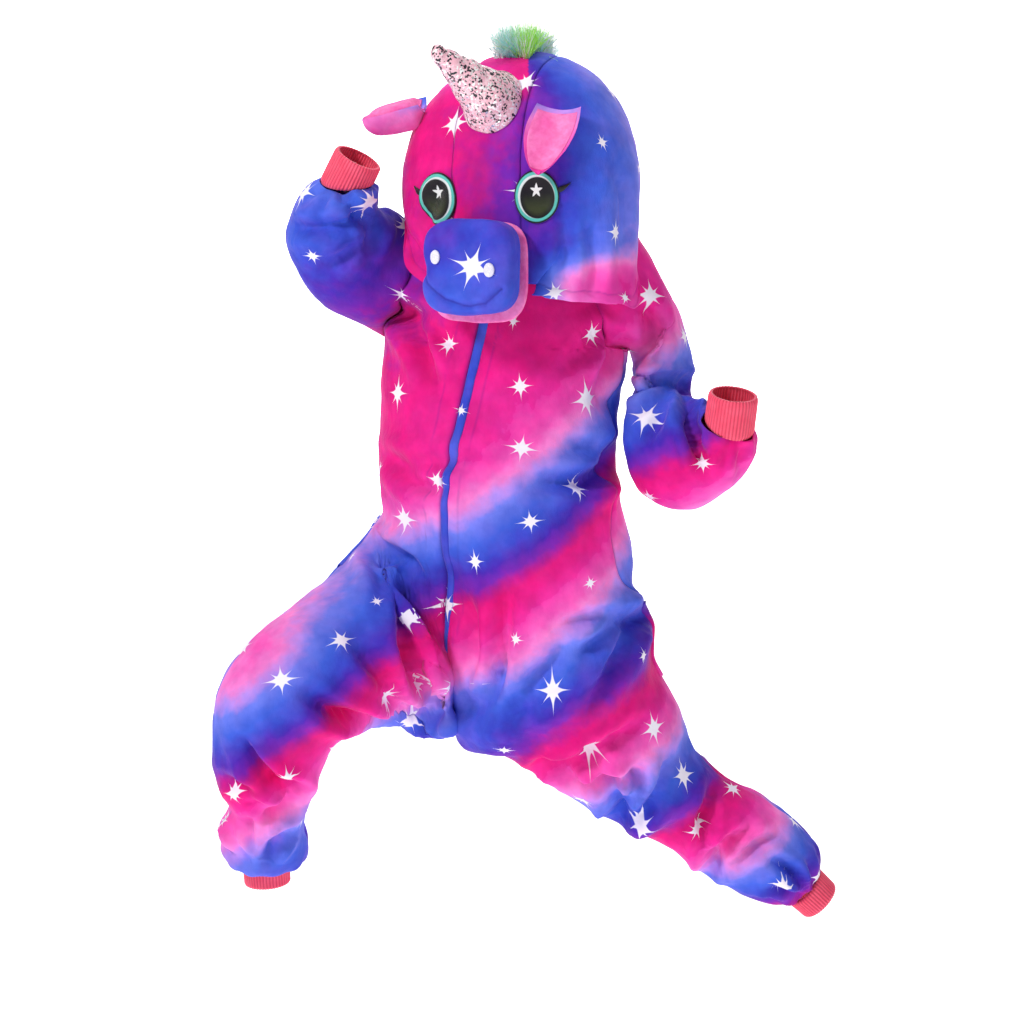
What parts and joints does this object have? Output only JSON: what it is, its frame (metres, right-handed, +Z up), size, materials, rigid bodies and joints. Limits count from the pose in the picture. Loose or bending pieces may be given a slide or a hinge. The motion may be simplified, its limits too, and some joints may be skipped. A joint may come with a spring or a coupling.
{
  "type": "unicorn onesie",
  "caption": "Hooded child's unicorn onesie in star-printed fleece, hollow and held in a wide lunge with one arm raised.",
  "frame": {"origin": "base of the neck, midway between the shoulder seams' inner ends, where the wearer's shoulders carry the garment", "axes": "+Z up; the garment faces -Y; the wearer's left is +X"},
  "size_m": [0.8152, 0.3856, 1.1904],
  "materials": {
    "printed_fleece": "short-pile flannel fleece printed with diagonal colour bands and white stars",
    "pink_fleece": "plain pink short-pile fleece",
    "rib_knit": "coral rib knit",
    "mane_fur": "long-pile fur",
    "eye_embroidery": "embroidered patch",
    "lash_felt": "black felt",
    "horn_sequin": "sequin cloth",
    "zip_tape": "woven zip tape"
  },
  "bodies": {
    "root": {"front_left": "printed_fleece", "back_left": "printed_fleece", "sleeve_left": "printed_fleece", "pocket_left": "printed_fleece", "hood_left": "printed_fleece", "cuff_wrist_left": "rib_knit", "cuff_ankle_left": "rib_knit", "eye_left": "eye_embroidery", "lash_left": "lash_felt", "nostril_left": "eye_embroidery", "ear_left_outer": "printed_fleece", "ear_left_inner": "pink_fleece", "front_right": "printed_fleece", "back_right": "printed_fleece", "sleeve_right": "printed_fleece", "pocket_right": "printed_fleece", "hood_right": "printed_fleece", "cuff_wrist_right": "rib_knit", "cuff_ankle_right": "rib_knit", "eye_right": "eye_embroidery", "lash_right": "lash_felt", "nostril_right": "eye_embroidery", "ear_right_outer": "printed_fleece", "ear_right_inner": "pink_fleece", "hood_gusset": "printed_fleece", "muzzle": "printed_fleece", "muzzle_rim": "pink_fleece", "horn": "horn_sequin", "mane": "mane_fur", "zip_tape": "zip_tape", "zip_placket": "printed_fleece", "zip_slider": "zip_tape"}
  },
  "joints": []
}
